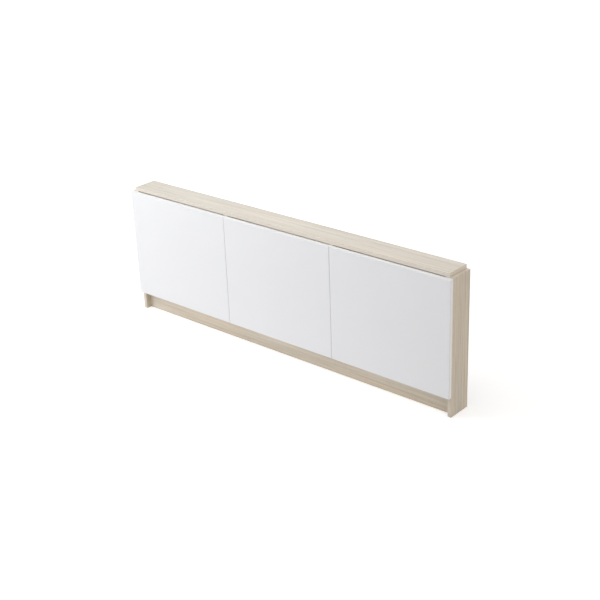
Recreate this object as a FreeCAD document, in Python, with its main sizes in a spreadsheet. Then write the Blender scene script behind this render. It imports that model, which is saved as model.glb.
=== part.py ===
"""Furniture bath panel: a shallow, open-backed carcass of laminated board that carries three overlay fronts.

Millimetres. The origin is on the floor under the middle of the panel's box. +X runs along the panel, to the
right of a person who faces it, +Y runs from the fronts to the open back, and +Z is up.
"""

import FreeCAD, Part
import Sketcher
import os

# Driving dimensions: alias, value and what it measures.
SIZES = [
    ("panel_length", "1700", "over the outer faces of the two side panels"),
    ("panel_height", "590", "floor to the top of the top board"),
    ("carcass_depth", "110", "front edge to back edge of a side panel"),
    ("board_thickness", "16", "laminated board of the carcass"),
    ("front_thickness", "16", "lacquered fronts"),
    ("front_lift", "85", "floor to the lower edge of the fronts"),
    ("front_joint", "1", "gap between two neighbouring fronts"),
    ("shadow_gap", "3", "upper edge of the fronts to the underside of the top board"),
    ("plinth_height", "100", "plinth board, which reaches up behind the fronts"),
    ("plinth_setback", "25", "front edge of a side panel to the face of the plinth"),
    ("rail_height", "80", "rear rail under the top board"),
    ("board_edge_radius", "0.5", "rounding of the edge-banded board edges"),
    ("front_edge_radius", "1", "rounding of the lacquered front edges"),
    ("cam_bore", "15", "diameter of the blind bores that take the cam fittings"),
    ("cam_bore_depth", "12.5", "depth of those bores"),
    ("cam_inset", "34", "axis of a bore to the end of the board that its cam pulls tight"),
]

# Sizes and places that follow from the driving dimensions.
SIDE_HEIGHT = "(sizes.panel_height - sizes.board_thickness)"
INNER_LENGTH = "(sizes.panel_length - 2 * sizes.board_thickness)"
FRONT_HEIGHT = f"({SIDE_HEIGHT} - sizes.shadow_gap - sizes.front_lift)"
FRONT_WIDTH = "((sizes.panel_length - 2 * sizes.front_joint) / 3)"
FRONT_PITCH = f"({FRONT_WIDTH} + sizes.front_joint)"
END_UPRIGHT = f"(({INNER_LENGTH} - sizes.board_thickness) / 2)"
RAIL_BOTTOM = f"({SIDE_HEIGHT} - sizes.rail_height)"
CARCASS_FRONT = "((sizes.front_thickness - sizes.carcass_depth) / 2)"
CARCASS_BACK = "((sizes.front_thickness + sizes.carcass_depth) / 2)"

doc = FreeCAD.newDocument("bath_panel")
sheet = doc.addObject("Spreadsheet::Sheet", "sizes")
for row, (alias, value, meaning) in enumerate(SIZES, start=1):
    sheet.set(f"A{row}", meaning)
    sheet.set(f"B{row}", value)
    sheet.setAlias(f"B{row}", alias)
doc.recompute()


def new_body(label, x, y, z):
    """An empty body whose own origin lies at the place that the three expressions give."""
    body = doc.addObject("PartDesign::Body", label)
    body.Label = label
    for axis, place in (("x", x), ("y", y), ("z", z)):
        body.setExpression(f"Placement.Base.{axis}", place)
    return body


def origin_sketch(body, name, plane_role):
    """An empty sketch on one of the body's origin planes."""
    sketch = body.newObject("Sketcher::SketchObject", f"{body.Label}_{name}")
    plane = next(feature for feature in body.Origin.OriginFeatures if feature.Role == plane_role)
    sketch.AttachmentSupport = [(plane, "")]
    sketch.MapMode = "FlatFace"
    return sketch


def bind(sketch, name, constraint, expression):
    """Adds a dimension to a sketch and ties it to an expression."""
    index = sketch.addConstraint(constraint)
    sketch.renameConstraint(index, name)
    sketch.setExpression(f"Constraints.{name}", expression)


def rectangle(body, name, plane_role, across, up, across_start=None, up_start=None):
    """A sketched rectangle on one of the body's origin planes, from the origin or from a given start."""
    sketch = origin_sketch(body, name, plane_role)
    # Rough corners, in order round the outline. The constraints give them their true places.
    corners = [FreeCAD.Vector(*place) for place in ((1, 1, 0), (2, 1, 0), (2, 2, 0), (1, 2, 0))]
    for number in range(4):
        sketch.addGeometry(Part.LineSegment(corners[number], corners[(number + 1) % 4]), False)
    for number, direction in enumerate(("Horizontal", "Vertical", "Horizontal", "Vertical")):
        sketch.addConstraint(Sketcher.Constraint("Coincident", number, 2, (number + 1) % 4, 1))
        sketch.addConstraint(Sketcher.Constraint(direction, number))
    bind(sketch, "across", Sketcher.Constraint("DistanceX", 0, 1, 0, 2, 1), across)
    bind(sketch, "up", Sketcher.Constraint("DistanceY", 1, 1, 1, 2, 1), up)
    if across_start is None:
        sketch.addConstraint(Sketcher.Constraint("PointOnObject", 0, 1, -2))
    else:
        bind(sketch, "across_start", Sketcher.Constraint("DistanceX", -1, 1, 0, 1, 1), across_start)
    if up_start is None:
        sketch.addConstraint(Sketcher.Constraint("PointOnObject", 0, 1, -1))
    else:
        bind(sketch, "up_start", Sketcher.Constraint("DistanceY", -1, 1, 0, 1, 1), up_start)
    return sketch


def pad(body, sketch, thickness):
    """The board: the sketched outline with its thickness."""
    feature = body.newObject("PartDesign::Pad", f"{body.Label}_board")
    feature.Profile = sketch
    feature.setExpression("Length", thickness)
    doc.recompute()
    return feature


def cut(body, name, sketch, depth=None):
    """A cut into the board on the positive side of the sketch, through it or to a depth."""
    before = body.Shape.Volume
    feature = body.newObject("PartDesign::Pocket", f"{body.Label}_{name}")
    feature.Profile = sketch
    feature.Reversed = True
    if depth is None:
        feature.Type = "ThroughAll"
    else:
        feature.setExpression("Length", depth)
    doc.recompute()
    if body.Shape.Volume >= before:
        raise RuntimeError(f"{body.Label}: {name} removes nothing")
    return feature


def round_edges(body, feature, radius, keep):
    """Rounds those edges of a board for which keep(direction, middle point, box) holds."""
    shape = feature.Shape
    names = []
    for number, edge in enumerate(shape.Edges, start=1):
        middle = (edge.Vertexes[0].Point + edge.Vertexes[1].Point) / 2
        if keep(edge.tangentAt(edge.FirstParameter), middle, shape.BoundBox):
            names.append(f"Edge{number}")
    fillet = body.newObject("PartDesign::Fillet", f"{body.Label}_rounding")
    fillet.Base = (feature, names)
    fillet.setExpression("Radius", radius)
    doc.recompute()


def every_edge(direction, middle, box):
    return True


def long_edge(direction, middle, box):
    return abs(direction.x) > abs(direction.y) + abs(direction.z)


def outer_upright_edge(direction, middle, box):
    upright_run = abs(direction.z) > abs(direction.x) + abs(direction.y)
    nearest = min(middle.y - box.YMin, box.YMax - middle.y)
    return upright_run and nearest < box.XLength / 2


def side_panel(label, x):
    """A board that closes the end of the carcass down to the floor, banded and rounded all round."""
    body = new_body(label, x, CARCASS_FRONT, "0")
    outline = rectangle(body, "outline", "YZ_Plane", "sizes.carcass_depth", SIDE_HEIGHT)
    round_edges(body, pad(body, outline, "sizes.board_thickness"), "sizes.board_edge_radius", every_edge)
    return body


def upright(label, middle_x):
    """A partition under the top board, notched over the plinth and round the rear rail."""
    body = new_body(label, f"{middle_x} - sizes.board_thickness / 2", CARCASS_FRONT, "0")
    outline = rectangle(body, "outline", "YZ_Plane", "sizes.carcass_depth", SIDE_HEIGHT)
    pad(body, outline, "sizes.board_thickness")
    toe = rectangle(
        body, "toe_outline", "YZ_Plane", "sizes.plinth_setback + sizes.board_thickness", "sizes.plinth_height"
    )
    cut(body, "toe_notch", toe)
    seat = rectangle(
        body, "rail_outline", "YZ_Plane", "sizes.board_thickness", "sizes.rail_height",
        "sizes.carcass_depth - sizes.board_thickness", RAIL_BOTTOM,
    )
    notched = cut(body, "rail_notch", seat)
    round_edges(body, notched, "sizes.board_edge_radius", outer_upright_edge)
    return body


def top_board():
    """The board that the bath's rim covers, laid on the uprights, from one side panel to the other."""
    body = new_body("top_board", f"-{INNER_LENGTH} / 2", CARCASS_FRONT, SIDE_HEIGHT)
    outline = rectangle(body, "outline", "XY_Plane", INNER_LENGTH, "sizes.carcass_depth")
    round_edges(body, pad(body, outline, "sizes.board_thickness"), "sizes.board_edge_radius", every_edge)
    return body


def cam_bores(body, height):
    """A blind bore near each end of a board on edge, in from its back face, which lies on the sketch."""
    sketch = origin_sketch(body, "bore_circles", "XZ_Plane")
    for number, end in enumerate(("sizes.cam_inset", f"{INNER_LENGTH} - sizes.cam_inset"), start=1):
        rough = Part.Circle(FreeCAD.Vector(number, 1, 0), FreeCAD.Vector(0, 0, 1), 1)
        circle = sketch.addGeometry(rough, False)
        bind(sketch, f"diameter_{number}", Sketcher.Constraint("Diameter", circle, 1), "sizes.cam_bore")
        bind(sketch, f"along_{number}", Sketcher.Constraint("DistanceX", -1, 1, circle, 3, 1), end)
        bind(sketch, f"up_{number}", Sketcher.Constraint("DistanceY", -1, 1, circle, 3, 1), f"{height} / 2")
    cut(body, "cam_bores", sketch, "sizes.cam_bore_depth")


def cross_board(label, height, back, z):
    """A board on edge between the side panels, with its back face at the given place."""
    body = new_body(label, f"-{INNER_LENGTH} / 2", back, z)
    outline = rectangle(body, "outline", "XZ_Plane", INNER_LENGTH, height)
    round_edges(body, pad(body, outline, "sizes.board_thickness"), "sizes.board_edge_radius", long_edge)
    cam_bores(body, height)
    return body


def front(label, middle_x):
    """A lacquered front that lies on the front edges of the carcass."""
    body = new_body(label, f"{middle_x} - {FRONT_WIDTH} / 2", CARCASS_FRONT, "sizes.front_lift")
    outline = rectangle(body, "outline", "XZ_Plane", FRONT_WIDTH, FRONT_HEIGHT)
    round_edges(body, pad(body, outline, "sizes.front_thickness"), "sizes.front_edge_radius", every_edge)
    return body


bodies = [
    side_panel("side_panel_left", "-sizes.panel_length / 2"),
    side_panel("side_panel_right", "sizes.panel_length / 2 - sizes.board_thickness"),
    upright("upright_end_left", f"-{END_UPRIGHT}"),
    upright("upright_left", f"-{FRONT_PITCH} / 2"),
    upright("upright_right", f"{FRONT_PITCH} / 2"),
    upright("upright_end_right", END_UPRIGHT),
    top_board(),
    cross_board(
        "plinth_board", "sizes.plinth_height",
        f"{CARCASS_FRONT} + sizes.plinth_setback + sizes.board_thickness", "0",
    ),
    cross_board("rear_rail", "sizes.rail_height", CARCASS_BACK, RAIL_BOTTOM),
    front("front_left", f"-{FRONT_PITCH}"),
    front("front_middle", "0"),
    front("front_right", FRONT_PITCH),
]
doc.recompute()

for item in doc.Objects:
    if "Invalid" in item.State or "Error" in item.State:
        raise RuntimeError(f"{item.Label} did not recompute: {item.State}")

os.makedirs("parts", exist_ok=True)
for body in bodies:
    if body.Shape.isNull() or not body.Shape.isValid():
        raise RuntimeError(f"{body.Label} has no valid shape")
    body.Shape.exportStep(f"parts/{body.Label}.step")
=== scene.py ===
"""Looks of a furniture bath panel.

Finishes its boards in ash decor and its fronts in white high gloss, adds its metal fittings and sets a studio
stage.
"""

import math

import bmesh
import bpy
from bpy.props import FloatProperty, FloatVectorProperty, PointerProperty
from mathutils import Matrix, Vector


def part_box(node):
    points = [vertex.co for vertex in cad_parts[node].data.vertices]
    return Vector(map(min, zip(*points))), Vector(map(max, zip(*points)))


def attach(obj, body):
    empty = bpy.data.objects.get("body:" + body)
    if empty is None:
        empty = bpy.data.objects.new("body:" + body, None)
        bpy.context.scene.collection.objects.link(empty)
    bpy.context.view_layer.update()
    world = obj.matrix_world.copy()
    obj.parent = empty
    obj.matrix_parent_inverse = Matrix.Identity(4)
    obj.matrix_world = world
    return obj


bl_info = {
    "name": "Bath panel finish",
    "version": (1, 0, 0),
    "blender": (4, 5, 0),
    "location": "View3D > Sidebar > Bath panel",
    "description": "Finishes the boards of a bath panel, adds its metal fittings and sets its studio stage",
    "category": "Object",
}

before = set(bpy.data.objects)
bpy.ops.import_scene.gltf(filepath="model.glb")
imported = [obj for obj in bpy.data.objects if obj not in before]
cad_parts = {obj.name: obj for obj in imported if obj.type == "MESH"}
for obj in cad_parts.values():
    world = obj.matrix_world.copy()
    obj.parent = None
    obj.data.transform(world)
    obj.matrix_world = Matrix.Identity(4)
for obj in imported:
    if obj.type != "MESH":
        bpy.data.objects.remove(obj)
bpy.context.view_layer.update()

MM = 0.001
X, Y, Z = range(3)

# Boards whose grain stands upright, and boards on edge whose grain runs along the panel.
UPRIGHT_BOARDS = (
    "side_panel_left", "side_panel_right",
    "upright_end_left", "upright_left", "upright_right", "upright_end_right",
)
CROSS_BOARDS = ("plinth_board", "rear_rail")
FRONTS = ("front_left", "front_middle", "front_right")

# Softboxes of the studio: place, target and size in metres.
SOFTBOXES = {
    "key": ((-2.34, -2.12, 1.38), (-0.53, 0.0, 0.32), (1.9, 1.9)),
    "overhead": ((-0.2, -0.85, 3.4), (0.0, 0.0, 0.59), (3.2, 2.1)),
    "back": ((-2.0, 3.6, 1.5), (0.0, 0.0, 0.3), (4.2, 2.1)),
}
# Where the broad fill light comes from, and how wide it is.
FILL_FROM = (1.0, -0.25, 0.22)
FILL_SPREAD = math.radians(50)
# The floor: half its width, how far it lies under the boards, and where its glow starts and ends to change.
FLOOR_REACH = 15.0
FLOOR_DROP = 0.1 * MM
GLOW_START = 1.0
GLOW_END = 4.0
SENSOR_WIDTH = 36.0

# Share of a face's normal along an axis. Above the first the face is square to the axis. Below the second,
# across a board's thickness, the face is an edge.
SQUARE_SHARE = 0.7
EDGE_SHARE = 0.84
# Melamine resin and lacquer.
RESIN_IOR = 1.5

# The printed decor: how its noises are read as colour, shade and roughness.
NOISE_ROUGHNESS = 0.6
NOISE_DISTORTION = 0.4
ROSY_RANGE = {"From Min": 0.3, "From Max": 0.7}
PALE_RANGE = {"From Min": 0.28, "From Max": 0.72}
LINE_MIDDLE = 0.5
LINE_RANGE = {"From Min": 0.0, "From Max": 0.06, "To Min": 0.3, "To Max": 0.0}
PORE_RANGE = {"From Min": 0.30, "From Max": 0.42, "To Min": 1.0, "To Max": 0.0}
PORE_SHADE = 0.22
PORE_RELIEF = 0.6
MATT_RANGE = {"From Min": 0.3, "From Max": 0.7, "To Min": 0.28, "To Max": 0.36}
BAND_SHARE = 0.6

# The lacquer: roughness of its polished face and its matt back, and strength of its waves.
LACQUER_RANGE = {"To Min": 0.07, "To Max": 0.5}
RIPPLE_RELIEF = 0.5
# Product of a normal's two shares halfway round a rounded edge.
HALFWAY_ROUND = 0.5

# Bare metals: lowest and highest roughness, and strength of their grain.
CAST_RANGE = {"To Min": 0.32, "To Max": 0.52}
PLATED_RANGE = {"To Min": 0.22, "To Max": 0.36}
METAL_RELIEF = 0.3

# Shapes of the fittings.
ROUND_SEGMENTS = 40
RIM_SEGMENTS = 2
BEND_SEGMENTS = 5
SMOOTH_ANGLE = math.radians(30)
# A pan head curves over from its flat crown to its rim: radius and drop of each loop, as shares of the
# head's radius and height.
CROWN_SHARE = 0.65
HEAD_CURVE = ((0.84, 0.1), (0.95, 0.28), (1.0, 0.55), (1.0, 1.0))

# Faces of the uprights that carry brackets: the board, and 1 for its right face or -1 for its left one.
BRACKET_SEATS = (
    ("upright_end_left", 1), ("upright_left", -1), ("upright_left", 1),
    ("upright_right", -1), ("upright_right", 1), ("upright_end_right", -1),
)


def linear_colour(hex_code):
    """A linear colour with alpha from an sRGB hex code."""
    channels = [int(hex_code[i:i + 2], 16) / 255 for i in (0, 2, 4)]
    return (*((c / 12.92 if c <= 0.04045 else ((c + 0.055) / 1.055) ** 2.4) for c in channels), 1.0)


WHITE = linear_colour("FFFFFF")


def add_node(tree, kind, inputs=None, **settings):
    """Adds a node, applies its settings, and fills or links its inputs by name or number."""
    node = tree.nodes.new(kind)
    for name, value in settings.items():
        setattr(node, name, value)
    for name, value in (inputs or {}).items():
        if isinstance(value, bpy.types.NodeSocket):
            tree.links.new(value, node.inputs[name])
        else:
            node.inputs[name].default_value = value
    return node


def new_material(name):
    """An empty node material with its output node."""
    material = bpy.data.materials.new(name)
    material.use_nodes = True
    material.node_tree.nodes.clear()
    return material, material.node_tree, material.node_tree.nodes.new("ShaderNodeOutputMaterial")


def colour_property(name, description, hex_code):
    """A colour that a user may change, written as an sRGB hex code."""
    return FloatVectorProperty(
        name=name, description=description, subtype="COLOR", size=4, min=0.0, max=1.0,
        default=linear_colour(hex_code),
    )


def length_property(name, description, millimetres):
    """A length that a user may change, written in millimetres."""
    metres = millimetres * MM
    return FloatProperty(name=name, description=description, unit="LENGTH", min=0.0, default=metres)


def angle_property(name, description, degrees):
    """An angle that a user may change, written in degrees."""
    return FloatProperty(name=name, description=description, subtype="ANGLE", default=math.radians(degrees))


def power_property(name, description, watts):
    """The power of a lamp that a user may change."""
    return FloatProperty(name=name, description=description, unit="POWER", min=0.0, default=watts)


def strength_property(name, description, strength):
    """The strength of a light without a unit of its own."""
    return FloatProperty(name=name, description=description, min=0.0, default=strength)


class BoardFinish(bpy.types.PropertyGroup):
    """The ash-decor laminate of the carcass."""

    light: colour_property("Light wood", "Pale, rosy early wood of the printed ash decor", "F8E8D3")
    grey: colour_property("Grey wood", "Greyer early wood in the broad bands of the decor", "E2DCCF")
    dark: colour_property("Dark wood", "Darker late wood of the printed ash decor", "D7C9B5")
    band: colour_property("Edge bands", "Paler tone of the edge bands", "F9EEE0")
    # Painted light: the three tints below make one decor darker on the upright boards and a little darker and
    # cooler on the top, as light and shade fall on each group of boards.
    upright_painted_light: colour_property("Upright tone", "Tint of the decor sheet on the upright boards", "E9EBEB")
    cross_painted_light: colour_property("Cross tone", "Tint of the decor sheet on the plinth and the rail", "F9FBFD")
    top_painted_light: colour_property("Top tone", "Tint of the decor sheet on the top board", "F0F4F8")
    upright_cut: length_property("Upright cut", "Place on the decor sheet of the upright boards", 2700.0)
    cross_cut: length_property("Cross cut", "Place on the decor sheet of the plinth and the rail", 2300.0)
    top_cut: length_property("Top cut", "Place on the decor sheet of the top board", 1900.0)
    figure_width: length_property("Figure width", "Width of one broad band across the grain", 45.0)
    figure_length: length_property("Figure length", "Length of one broad band along the grain", 800.0)
    streak_width: length_property("Streak width", "Width of one growth streak across the grain", 13.0)
    streak_length: length_property("Streak length", "Length of one growth streak along the grain", 420.0)
    ring_width: length_property("Ring width", "Space of the late-wood lines across the grain", 9.0)
    ring_length: length_property("Ring length", "Length of a late-wood line along the grain", 520.0)
    # Real pores are about a third as wide. These are as coarse as they need to be to show.
    pore_width: length_property("Pore width", "Width of an embossed pore across the grain", 1.1)
    pore_length: length_property("Pore length", "Length of an embossed pore along the grain", 28.0)
    pore_depth: length_property("Pore depth", "Depth of the embossed pores", 0.06)


class FrontFinish(bpy.types.PropertyGroup):
    """The white high-gloss lacquer of the fronts."""

    white: colour_property("White", "Cool white of the lacquer", "F0F2F6")
    # Painted shade: grey on the upright rounded edges of the fronts, which darkens the joints between them.
    edge: colour_property("Edge grey", "Primer where the lacquer thins on upright edges", "C0C2C6")
    ripple_width: length_property("Ripple width", "Width of one soft wave in the sprayed lacquer", 7.0)
    ripple_depth: length_property("Ripple depth", "Depth of the waves in the sprayed lacquer", 0.004)


class CamFitting(bpy.types.PropertyGroup):
    """The cams that sit in the blind bores of the cross boards and pull the side panels tight."""

    metal: colour_property("Zinc", "Grey of the die-cast zinc", "B4B6B8")
    inset: length_property("Inset", "Axis of the bore to the end of the board", 34.0)
    diameter: length_property("Diameter", "Cam, a running clearance under its bore", 14.6)
    thickness: length_property("Thickness", "Cam, a little less than the depth of its bore", 12.0)
    sunk: length_property("Sunk", "Face of the cam below the face of the board", 0.4)
    rim: length_property("Rim", "Width of the raised rim round the cam's face", 1.0)
    face_drop: length_property("Face drop", "Face of the cam below its rim", 0.5)
    cross_span: length_property("Cross span", "Tip to tip of the cross recess for the driver", 7.0)
    cross_arm: length_property("Cross arm", "Width of one arm of the cross recess", 1.8)
    cross_depth: length_property("Cross depth", "Depth of the cross recess", 3.0)
    # A real casting has a finer grain. This one is as coarse as it needs to be to show.
    grit: length_property("Grit", "Size of the cast surface's grain", 0.6)
    relief: length_property("Relief", "Reach of the bump that draws the cast grain", 0.6)


class BracketFitting(bpy.types.PropertyGroup):
    """The angle brackets that hold the fronts to the uprights, and their screws."""

    metal: colour_property("Zinc plating", "Bright grey of the plated steel", "CBCBC8")
    leg: length_property("Leg", "Bend to the free end of a leg", 25.0)
    width: length_property("Width", "Width of the pressed strip", 18.0)
    sheet: length_property("Sheet", "Thickness of the strip", 2.0)
    bend: length_property("Bend", "Inner radius of the bend", 1.0)
    corner: length_property("Corner", "Rounding of the free corners", 4.0)
    seat: length_property("Seat", "Room between a bracket and the boards it lies on", 0.05)
    low: length_property("Low", "Floor to the middle of the lower brackets", 175.0)
    high: length_property("High", "Floor to the middle of the upper brackets", 445.0)
    stagger: length_property("Stagger", "Height between brackets on the two faces of one upright", 40.0)
    screw_place: length_property("Screw place", "Bend to the axis of a screw", 15.0)
    head_diameter: length_property("Head diameter", "Pan head of a screw", 8.0)
    head_height: length_property("Head height", "Height of the pan head", 2.6)
    cross_span: length_property("Cross span", "Tip to tip of the cross recess for the driver", 4.2)
    cross_arm: length_property("Cross arm", "Width of one arm of the cross recess", 1.1)
    cross_depth: length_property("Cross depth", "Depth of the cross recess", 1.5)
    cloud: length_property("Cloud", "Size of the faint clouds in the plating", 5.0)
    relief: length_property("Relief", "Reach of the bump that draws the clouds", 0.05)


class StageSettings(bpy.types.PropertyGroup):
    """Floor, light and camera."""

    floor_colour: colour_property("Floor", "White paper floor", "E4E4E4")
    near_glow: strength_property("Near glow", "Lift of the floor's white round the object", 0.53)
    far_glow: strength_property("Far glow", "Lift of the floor's white far from the object", 0.78)
    room_light: strength_property("Room light", "Even light of the white room", 0.29)
    key: power_property("Key light", "Softbox to the left, in front", 38.3)
    overhead: power_property("Overhead light", "Softbox above, in front", 50.0)
    back: power_property("Back light", "Softbox behind, to the left", 24.0)
    fill: strength_property("Fill light", "Broad light from the right, in watts per square metre", 1.22)
    fill_colour: colour_property("Fill colour", "Warm tone of the fill light", "FFF1E2")
    camera_place: FloatVectorProperty(
        name="Camera place", description="Where the camera stands", subtype="XYZ", unit="LENGTH",
        default=(3.0667, -3.3764, 2.2929),
    )
    camera_heading: angle_property("Camera heading", "Turn to the left of straight ahead", 41.597)
    camera_tilt: angle_property("Camera tilt", "Look down from the level", 24.193)
    camera_roll: angle_property("Camera roll", "Turn about the line of sight", -2.242)
    camera_lens: FloatProperty(
        name="Camera lens", description="Focal length in millimetres", default=72.267
    )


def ash_laminate(name, grain_axis, thin_axis, tone, cut, finish):
    """Melamine-faced chipboard with a printed ash decor and matching edge bands.

    The eye sees broad rosy and grey bands, streaks and thin late-wood lines along the board, fine pores
    pressed into a matt face, and paler edge bands whose grain runs along the edge. The tone tints the printed
    sheet and its bands with painted light, darker or cooler on each group of boards as light falls on it,
    and the cut is the place on the sheet that the boards come from.
    """
    material, tree, output = new_material(name)
    light, grey, dark, band = (
        [c * t for c, t in zip(print_colour, tone)]
        for print_colour in (finish.light, finish.grey, finish.dark, finish.band)
    )
    place = add_node(tree, "ShaderNodeTexCoord")
    facing = add_node(tree, "ShaderNodeVectorMath", {0: place.outputs["Normal"]}, operation="ABSOLUTE")
    facing = add_node(tree, "ShaderNodeSeparateXYZ", {0: facing.outputs[0]})
    end = add_node(
        tree, "ShaderNodeMath", {0: facing.outputs[grain_axis], 1: SQUARE_SHARE}, operation="GREATER_THAN"
    )

    def drawn_out(width, length, detail):
        """Noise drawn out along the grain, or along the band on an end that crosses the grain."""
        ways = []
        for axis in (grain_axis, Y):
            scale = tuple(1 / length if i == axis else 1 / width for i in range(3))
            start = tuple(cut * s for s in scale)
            ways.append(
                add_node(
                    tree, "ShaderNodeMapping",
                    {"Vector": place.outputs["Object"], "Location": start, "Scale": scale},
                )
            )
        way = add_node(
            tree, "ShaderNodeMix",
            {0: end.outputs[0], 4: ways[0].outputs[0], 5: ways[1].outputs[0]}, data_type="VECTOR",
        )
        return add_node(
            tree, "ShaderNodeTexNoise",
            {
                "Vector": way.outputs[1], "Scale": 1.0, "Detail": detail, "Roughness": NOISE_ROUGHNESS,
                "Distortion": NOISE_DISTORTION,
            },
        )

    figure = drawn_out(finish.figure_width, finish.figure_length, detail=1.0)
    streak = drawn_out(finish.streak_width, finish.streak_length, detail=3.0)
    ring = drawn_out(finish.ring_width, finish.ring_length, detail=0.0)
    pore = drawn_out(finish.pore_width, finish.pore_length, detail=0.0)

    rosy = add_node(tree, "ShaderNodeMapRange", {"Value": figure.outputs["Fac"], **ROSY_RANGE})
    early = add_node(
        tree, "ShaderNodeMix", {0: rosy.outputs["Result"], 6: grey, 7: light}, data_type="RGBA"
    )
    pale = add_node(tree, "ShaderNodeMapRange", {"Value": streak.outputs["Fac"], **PALE_RANGE})
    wood = add_node(
        tree, "ShaderNodeMix",
        {0: pale.outputs["Result"], 6: dark, 7: early.outputs[2]}, data_type="RGBA",
    )
    line = add_node(tree, "ShaderNodeMath", {0: ring.outputs["Fac"], 1: LINE_MIDDLE}, operation="SUBTRACT")
    line = add_node(tree, "ShaderNodeMath", {0: line.outputs[0]}, operation="ABSOLUTE")
    line = add_node(tree, "ShaderNodeMapRange", {"Value": line.outputs[0], **LINE_RANGE})
    pit = add_node(tree, "ShaderNodeMapRange", {"Value": pore.outputs["Fac"], **PORE_RANGE})
    pit_tone = add_node(
        tree, "ShaderNodeMath", {0: pit.outputs["Result"], 1: PORE_SHADE}, operation="MULTIPLY"
    )
    for share in (line.outputs["Result"], pit_tone.outputs[0]):
        wood = add_node(
            tree, "ShaderNodeMix",
            {0: share, 6: wood.outputs[2], 7: dark}, data_type="RGBA", blend_type="MULTIPLY",
        )
    edge = add_node(
        tree, "ShaderNodeMath", {0: facing.outputs[thin_axis], 1: EDGE_SHARE}, operation="LESS_THAN"
    )
    edge = add_node(tree, "ShaderNodeMath", {0: edge.outputs[0], 1: BAND_SHARE}, operation="MULTIPLY")
    wood = add_node(
        tree, "ShaderNodeMix", {0: edge.outputs[0], 6: wood.outputs[2], 7: band}, data_type="RGBA"
    )
    gloss = add_node(tree, "ShaderNodeMapRange", {"Value": streak.outputs["Fac"], **MATT_RANGE})
    relief = add_node(
        tree, "ShaderNodeBump",
        {"Strength": PORE_RELIEF, "Distance": finish.pore_depth, "Height": pit.outputs["Result"]},
        invert=True,
    )
    shader = add_node(
        tree, "ShaderNodeBsdfPrincipled",
        {
            "Base Color": wood.outputs[2], "Roughness": gloss.outputs["Result"], "IOR": RESIN_IOR,
            "Normal": relief.outputs[0],
        },
    )
    tree.links.new(shader.outputs[0], output.inputs["Surface"])
    return material


def white_lacquer(name, finish):
    """Fibreboard sprayed with white lacquer and polished to a high gloss, with a matt white back.

    The eye sees a cool white that mirrors the room faintly, with the barely waved surface of sprayed lacquer,
    and painted grey shade along the upright rounded edges, which darkens the joints between the fronts.
    """
    material, tree, output = new_material(name)
    place = add_node(tree, "ShaderNodeTexCoord")
    facing = add_node(tree, "ShaderNodeSeparateXYZ", {0: place.outputs["Normal"]})
    back = add_node(
        tree, "ShaderNodeMath", {0: facing.outputs["Y"], 1: SQUARE_SHARE}, operation="GREATER_THAN"
    )
    gloss = add_node(tree, "ShaderNodeMapRange", {"Value": back.outputs[0], **LACQUER_RANGE})
    # Painted shade for the joints between the fronts: zero on the flat faces, and largest halfway round an
    # upright edge.
    turn = add_node(
        tree, "ShaderNodeMath", {0: facing.outputs["X"], 1: facing.outputs["Y"]}, operation="MULTIPLY"
    )
    turn = add_node(tree, "ShaderNodeMath", {0: turn.outputs[0]}, operation="ABSOLUTE")
    thin = add_node(tree, "ShaderNodeMapRange", {"Value": turn.outputs[0], "From Max": HALFWAY_ROUND})
    lacquer_with_painted_shade = add_node(
        tree, "ShaderNodeMix",
        {0: thin.outputs["Result"], 6: tuple(finish.white), 7: tuple(finish.edge)}, data_type="RGBA",
    )
    ripple = add_node(
        tree, "ShaderNodeTexNoise",
        {"Vector": place.outputs["Object"], "Scale": 1 / finish.ripple_width, "Detail": 1.0},
    )
    relief = add_node(
        tree, "ShaderNodeBump",
        {"Strength": RIPPLE_RELIEF, "Distance": finish.ripple_depth, "Height": ripple.outputs["Fac"]},
    )
    shader = add_node(
        tree, "ShaderNodeBsdfPrincipled",
        {
            "Base Color": lacquer_with_painted_shade.outputs[2], "Roughness": gloss.outputs["Result"], "IOR": RESIN_IOR,
            "Normal": relief.outputs[0],
        },
    )
    tree.links.new(shader.outputs[0], output.inputs["Surface"])
    return material


def bare_metal(name, colour, grain_size, relief_reach, gloss_range):
    """A bare metal whose fine grain blurs what it mirrors, within a range of roughness."""
    material, tree, output = new_material(name)
    place = add_node(tree, "ShaderNodeTexCoord")
    grain = add_node(
        tree, "ShaderNodeTexNoise",
        {"Vector": place.outputs["Object"], "Scale": 1 / grain_size, "Detail": 2.0},
    )
    rough = add_node(tree, "ShaderNodeMapRange", {"Value": grain.outputs["Fac"], **gloss_range})
    relief = add_node(
        tree, "ShaderNodeBump",
        {"Strength": METAL_RELIEF, "Distance": relief_reach, "Height": grain.outputs["Fac"]},
    )
    shader = add_node(
        tree, "ShaderNodeBsdfPrincipled",
        {
            "Base Color": tuple(colour), "Metallic": 1.0, "Roughness": rough.outputs["Result"],
            "Normal": relief.outputs[0],
        },
    )
    tree.links.new(shader.outputs[0], output.inputs["Surface"])
    return material


def set_material(node, material):
    """Gives a board its only material."""
    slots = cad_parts[node].data.materials
    slots.clear()
    slots.append(material)


class BATHPANEL_OT_finish_boards(bpy.types.Operator):
    """Finishes the carcass boards in ash-decor laminate, with the grain along each board"""

    bl_idname = "bathpanel.finish_boards"
    bl_label = "Finish the carcass boards"

    def execute(self, context):
        finish = context.scene.bath_panel_boards
        # Each group of boards gets its own copy of the decor, tinted with painted light.
        upright = ash_laminate("ash_laminate_upright", Z, X, finish.upright_painted_light, finish.upright_cut, finish)
        for node in UPRIGHT_BOARDS:
            set_material(node, upright)
        cross = ash_laminate("ash_laminate_cross", X, Y, finish.cross_painted_light, finish.cross_cut, finish)
        for node in CROSS_BOARDS:
            set_material(node, cross)
        top = ash_laminate("ash_laminate_top", X, Z, finish.top_painted_light, finish.top_cut, finish)
        set_material("top_board", top)
        return {"FINISHED"}


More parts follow.
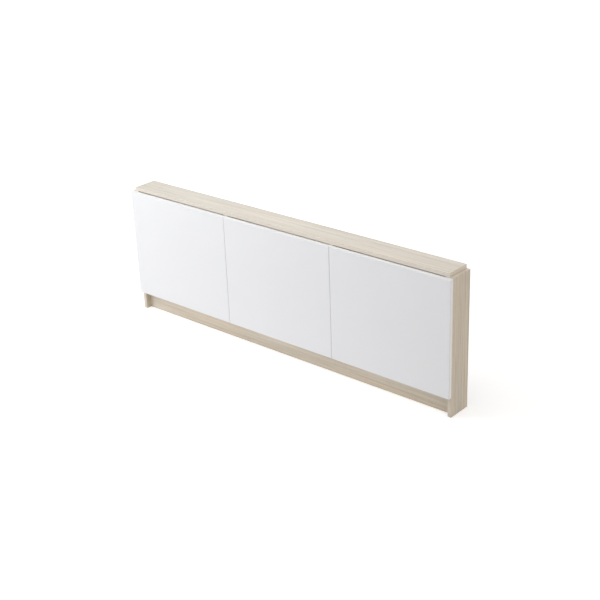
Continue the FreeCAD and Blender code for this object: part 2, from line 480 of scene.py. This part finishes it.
class BATHPANEL_OT_finish_fronts(bpy.types.Operator):
    """Finishes the fronts in white high-gloss lacquer"""

    bl_idname = "bathpanel.finish_fronts"
    bl_label = "Finish the fronts"

    def execute(self, context):
        lacquer = white_lacquer("white_gloss_lacquer", context.scene.bath_panel_fronts)
        for node in FRONTS:
            set_material(node, lacquer)
        return {"FINISHED"}


class BATHPANEL_OT_fit_cams(bpy.types.Operator):
    """Sets a zinc cam in each blind bore in the back faces of the cross boards"""

    bl_idname = "bathpanel.fit_cams"
    bl_label = "Fit the cams"

    def execute(self, context):
        fitting = context.scene.bath_panel_cams
        # Zinc as it leaves the mould: a bright grey with a fine cast grain.
        zinc = bare_metal("die_cast_zinc", fitting.metal, fitting.grit, fitting.relief, CAST_RANGE)
        for node in CROSS_BOARDS:
            low, high = (Vector(corner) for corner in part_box(node))
            middle = (low + high) / 2
            for side, x in (("left", low.x + fitting.inset), ("right", high.x - fitting.inset)):
                place = Vector((x, high.y - fitting.sunk, middle.z))
                make_cam(f"cam_{node}_{side}", place, zinc, fitting)
        return {"FINISHED"}


class BATHPANEL_OT_fit_brackets(bpy.types.Operator):
    """Screws an angle bracket into each corner between an upright and the back of a front"""

    bl_idname = "bathpanel.fit_brackets"
    bl_label = "Fit the brackets"

    def execute(self, context):
        fitting = context.scene.bath_panel_brackets
        # Pressed steel with a bright zinc plating: a pale grey sheen with faint clouds.
        steel = bare_metal("zinc_plated_steel", fitting.metal, fitting.cloud, fitting.relief, PLATED_RANGE)
        for node, side in BRACKET_SEATS:
            low, high = (Vector(corner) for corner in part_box(node))
            x = (high.x if side > 0 else low.x) + side * fitting.seat
            for level in ("low", "high"):
                z = getattr(fitting, level) + side * fitting.stagger / 2
                name = f"{node}_{'right' if side > 0 else 'left'}_{level}"
                corner = Vector((x, low.y + fitting.seat, z))
                make_bracket(f"bracket_{name}", corner, side, steel, fitting)
                on_upright = corner + Vector((side * fitting.sheet, fitting.screw_place, 0.0))
                make_screw(f"screw_{name}_upright", on_upright, Vector((side, 0.0, 0.0)), steel, fitting)
                on_front = corner + Vector((side * fitting.screw_place, fitting.sheet, 0.0))
                make_screw(f"screw_{name}_front", on_front, Vector((0.0, 1.0, 0.0)), steel, fitting)
        return {"FINISHED"}


def make_cam(name, place, material, fitting):
    """A round cam with a raised rim and a cross recess for the driver, facing the back of the panel."""
    shape = bmesh.new()
    face_radius = fitting.diameter / 2 - fitting.rim
    face_edge = add_driven_face(shape, face_radius, fitting)
    inner_rim = extrude_loop(shape, face_edge, height=fitting.face_drop)
    outer_rim = extrude_loop(shape, inner_rim, spread=fitting.diameter / 2 / face_radius)
    foot = extrude_loop(shape, outer_rim, height=-fitting.thickness)
    bmesh.ops.edgeloop_fill(shape, edges=foot)
    bmesh.ops.bevel(
        shape, geom=outer_rim, offset=fitting.rim / 4, affect="EDGES", segments=RIM_SEGMENTS, profile=0.5,
        material=-1,
    )
    bmesh.ops.translate(shape, verts=shape.verts, vec=(0.0, 0.0, -fitting.face_drop))
    turn_to(shape, place, Vector((0.0, 1.0, 0.0)))
    add_piece(name, shape, material)


def make_screw(name, place, axis, material, fitting):
    """The pan head of a screw, with a cross recess, seated at a place and facing along an axis."""
    shape = bmesh.new()
    radius = fitting.head_diameter / 2
    height = fitting.head_height
    loop = add_driven_face(shape, CROWN_SHARE * radius, fitting)
    for reach, drop in HEAD_CURVE:
        here = next(iter(loop)).verts[0].co
        loop = extrude_loop(
            shape, loop, height=-drop * height - here.z, spread=reach * radius / here.xy.length
        )
    bmesh.ops.edgeloop_fill(shape, edges=loop)
    bmesh.ops.translate(shape, verts=shape.verts, vec=(0.0, 0.0, height))
    turn_to(shape, place, axis)
    add_piece(name, shape, material)


def make_bracket(name, corner, side, material, fitting):
    """A strip pressed to a right angle, one leg on an upright and one on the back of a front."""
    shape = bmesh.new()
    leg, sheet = fitting.leg, fitting.sheet
    outline = ((0.0, 0.0), (leg, 0.0), (leg, sheet), (sheet, sheet), (sheet, leg), (0.0, leg))
    verts = [shape.verts.new((x, y, -fitting.width / 2)) for x, y in outline]
    profile = shape.faces.new(verts)
    top = bmesh.ops.extrude_face_region(shape, geom=[profile], use_keep_orig=True)["geom"]
    bmesh.ops.translate(shape, verts=only(top, bmesh.types.BMVert), vec=(0.0, 0.0, fitting.width))
    bmesh.ops.recalc_face_normals(shape, faces=shape.faces)
    for radius, places in (
        (fitting.bend + sheet, [(0.0, 0.0)]),
        (fitting.bend, [(sheet, sheet)]),
        (fitting.corner, [(leg, sheet / 2), (sheet / 2, leg)]),
    ):
        edges = []
        for edge in shape.edges:
            middle = (edge.verts[0].co + edge.verts[1].co).xy / 2
            if any((middle - Vector(place)).length < sheet / 4 for place in places):
                edges.append(edge)
        bmesh.ops.bevel(
            shape, geom=edges, offset=radius, affect="EDGES", segments=BEND_SEGMENTS, profile=0.5, material=-1
        )
    bmesh.ops.scale(shape, verts=shape.verts, vec=(side, 1.0, 1.0))
    bmesh.ops.translate(shape, verts=shape.verts, vec=corner)
    add_piece(name, shape, material)


def add_driven_face(shape, radius, fitting):
    """A round face about the origin with a cross recess for a driver, and the loop of edges round it."""
    cross, outline = add_cross(shape, fitting.cross_span, fitting.cross_arm)
    circle = bmesh.ops.create_circle(shape, segments=ROUND_SEGMENTS, radius=radius)
    face_edge = list({edge for vert in circle["verts"] for edge in vert.link_edges})
    bmesh.ops.triangle_fill(shape, use_beauty=True, edges=outline + face_edge)
    recess = bmesh.ops.extrude_face_region(shape, geom=cross)["geom"]
    bmesh.ops.translate(shape, verts=only(recess, bmesh.types.BMVert), vec=(0.0, 0.0, -fitting.cross_depth))
    bmesh.ops.delete(shape, geom=cross, context="FACES")
    return face_edge


def turn_to(shape, place, axis):
    """Turns a shape that stands on the origin so that its Z runs along an axis, and moves it to a place."""
    turn = axis.to_track_quat("Z", "X").to_matrix().to_4x4()
    bmesh.ops.transform(shape, matrix=Matrix.Translation(place) @ turn, verts=shape.verts)


def add_piece(name, shape, material):
    """Makes a finished shape a piece of the object, with its curved faces shaded smooth."""
    bmesh.ops.recalc_face_normals(shape, faces=shape.faces)
    mesh = bpy.data.meshes.new(name)
    shape.to_mesh(mesh)
    shape.free()
    mesh.shade_smooth()
    mesh.set_sharp_from_angle(angle=SMOOTH_ANGLE)
    mesh.materials.append(material)
    piece = bpy.data.objects.new(name, mesh)
    bpy.context.scene.collection.objects.link(piece)
    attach(piece, "root")


def add_cross(shape, span, arm):
    """A flat cross of five faces about the origin, and its outline."""
    cell = span / 3
    bmesh.ops.create_grid(shape, x_segments=3, y_segments=3, size=span / 2)
    corners = [face for face in shape.faces if min(map(abs, face.calc_center_median().xy)) > cell / 2]
    bmesh.ops.delete(shape, geom=corners, context="FACES")
    for axis in (X, Y):
        inner = [vert for vert in shape.verts if abs(vert.co[axis]) < cell]
        pinch = [1.0, 1.0, 1.0]
        pinch[axis] = arm / cell
        bmesh.ops.scale(shape, verts=inner, vec=pinch)
    return list(shape.faces), [edge for edge in shape.edges if edge.is_boundary]


def only(geometry, kind):
    """The elements of one kind in what a mesh operator gives back."""
    return [element for element in geometry if isinstance(element, kind)]


def extrude_loop(shape, edges, height=0.0, spread=1.0):
    """Extrudes a loop of edges up and away from the axis, and returns the new loop."""
    geometry = bmesh.ops.extrude_edge_only(shape, edges=edges)["geom"]
    verts = only(geometry, bmesh.types.BMVert)
    bmesh.ops.translate(shape, verts=verts, vec=(0.0, 0.0, height))
    bmesh.ops.scale(shape, verts=verts, vec=(spread, spread, 1.0))
    return only(geometry, bmesh.types.BMEdge)


class BATHPANEL_OT_set_stage(bpy.types.Operator):
    """Sets the floor, the soft studio light and the camera"""

    bl_idname = "bathpanel.set_stage"
    bl_label = "Set the stage"

    def execute(self, context):
        settings = context.scene.bath_panel_stage
        make_floor(settings)
        make_room_light(context.scene, settings)
        for name, (place, target, size) in SOFTBOXES.items():
            make_softbox(f"{name}_softbox", Vector(place), Vector(target), size, getattr(settings, name))
        make_fill(settings)
        make_camera(context.scene, settings)
        context.scene.view_settings.view_transform = "Standard"
        return {"FINISHED"}


def seen_directly(tree):
    """1 on what is seen straight, mirrored or through glass, and 0 on what only gives or takes light."""
    ray = add_node(tree, "ShaderNodeLightPath")
    seen = ray.outputs["Is Camera Ray"]
    for way in ("Is Glossy Ray", "Is Transmission Ray"):
        either = add_node(tree, "ShaderNodeMath", {0: seen, 1: ray.outputs[way]}, operation="MAXIMUM")
        seen = either.outputs[0]
    return seen


def make_floor(settings):
    """A wide sheet of white paper just under the feet of the boards."""
    sheet = bmesh.new()
    bmesh.ops.create_grid(sheet, x_segments=1, y_segments=1, size=FLOOR_REACH)
    bmesh.ops.translate(sheet, verts=sheet.verts, vec=(0.0, 0.0, -FLOOR_DROP))
    mesh = bpy.data.meshes.new("floor")
    sheet.to_mesh(mesh)
    sheet.free()
    floor = bpy.data.objects.new("floor", mesh)
    bpy.context.scene.collection.objects.link(floor)

    material, tree, output = new_material("white_paper_floor")
    paper = add_node(tree, "ShaderNodeBsdfDiffuse", {"Color": tuple(settings.floor_colour)})
    place = add_node(tree, "ShaderNodeTexCoord")
    distance = add_node(tree, "ShaderNodeVectorMath", {0: place.outputs["Object"]}, operation="LENGTH")
    strength = add_node(
        tree, "ShaderNodeMapRange",
        {
            "Value": distance.outputs["Value"], "From Min": GLOW_START, "From Max": GLOW_END,
            "To Min": settings.near_glow, "To Max": settings.far_glow,
        },
        interpolation_type="SMOOTHSTEP",
    )
    glow = add_node(tree, "ShaderNodeEmission", {"Color": WHITE, "Strength": strength.outputs["Result"]})
    lifted = add_node(tree, "ShaderNodeAddShader", {0: paper.outputs[0], 1: glow.outputs[0]})
    surface = add_node(
        tree, "ShaderNodeMixShader", {0: seen_directly(tree), 1: paper.outputs[0], 2: lifted.outputs[0]}
    )
    tree.links.new(surface.outputs[0], output.inputs["Surface"])
    mesh.materials.append(material)


def make_room_light(scene, settings):
    """An even white room: white to the camera and in reflections, lower as light on the object."""
    world = bpy.data.worlds.new("white_room")
    world.use_nodes = True
    tree = world.node_tree
    tree.nodes.clear()
    light = add_node(tree, "ShaderNodeBackground", {"Color": WHITE, "Strength": settings.room_light})
    white = add_node(tree, "ShaderNodeBackground", {"Color": WHITE, "Strength": 1.0})
    room = add_node(
        tree, "ShaderNodeMixShader", {0: seen_directly(tree), 1: light.outputs[0], 2: white.outputs[0]}
    )
    add_node(tree, "ShaderNodeOutputWorld", {"Surface": room.outputs[0]})
    scene.world = world


def make_softbox(name, place, target, size, watts):
    """A softbox that faces a target, hidden from the camera itself."""
    light = bpy.data.lights.new(name, "AREA")
    light.shape = "RECTANGLE"
    light.size, light.size_y = size
    light.energy = watts
    lamp = bpy.data.objects.new(name, light)
    lamp.location = place
    lamp.rotation_euler = (target - place).to_track_quat("-Z", "Y").to_euler()
    lamp.visible_camera = False
    bpy.context.scene.collection.objects.link(lamp)


def make_fill(settings):
    """A wall of soft, warm light far to the right, which reaches the toe space too."""
    light = bpy.data.lights.new("fill_light", "SUN")
    light.energy = settings.fill
    light.angle = FILL_SPREAD
    light.color = settings.fill_colour[:3]
    lamp = bpy.data.objects.new("fill_light", light)
    lamp.rotation_euler = (-Vector(FILL_FROM)).to_track_quat("-Z", "Y").to_euler()
    bpy.context.scene.collection.objects.link(lamp)


def make_camera(scene, settings):
    """The camera of the reference view."""
    data = bpy.data.cameras.new("camera")
    data.sensor_width = SENSOR_WIDTH
    data.lens = settings.camera_lens
    camera = bpy.data.objects.new("camera", data)
    camera.matrix_world = (
        Matrix.Translation(Vector(settings.camera_place))
        @ Matrix.Rotation(settings.camera_heading, 4, "Z")
        @ Matrix.Rotation(math.pi / 2 - settings.camera_tilt, 4, "X")
        @ Matrix.Rotation(settings.camera_roll, 4, "Z")
    )
    scene.collection.objects.link(camera)
    scene.camera = camera


class BATHPANEL_PT_tools(bpy.types.Panel):
    """Lists the steps that finish the bath panel"""

    bl_idname = "BATHPANEL_PT_tools"
    bl_label = "Bath panel"
    bl_space_type = "VIEW_3D"
    bl_region_type = "UI"
    bl_category = "Bath panel"

    def draw(self, context):
        for operator in OPERATORS:
            self.layout.operator(operator.bl_idname)


OPERATORS = (
    BATHPANEL_OT_finish_boards,
    BATHPANEL_OT_finish_fronts,
    BATHPANEL_OT_fit_cams,
    BATHPANEL_OT_fit_brackets,
    BATHPANEL_OT_set_stage,
)
SETTINGS = {
    "bath_panel_boards": BoardFinish,
    "bath_panel_fronts": FrontFinish,
    "bath_panel_cams": CamFitting,
    "bath_panel_brackets": BracketFitting,
    "bath_panel_stage": StageSettings,
}
CLASSES = (*SETTINGS.values(), *OPERATORS, BATHPANEL_PT_tools)


def register():
    for item in CLASSES:
        bpy.utils.register_class(item)
    for name, group in SETTINGS.items():
        setattr(bpy.types.Scene, name, PointerProperty(type=group))


def unregister():
    for name in SETTINGS:
        delattr(bpy.types.Scene, name)
    for item in reversed(CLASSES):
        bpy.utils.unregister_class(item)


def main():
    register()
    bpy.ops.bathpanel.finish_boards()
    bpy.ops.bathpanel.finish_fronts()
    bpy.ops.bathpanel.fit_cams()
    bpy.ops.bathpanel.fit_brackets()
    bpy.ops.bathpanel.set_stage()


if __name__ == "__main__":
    main()
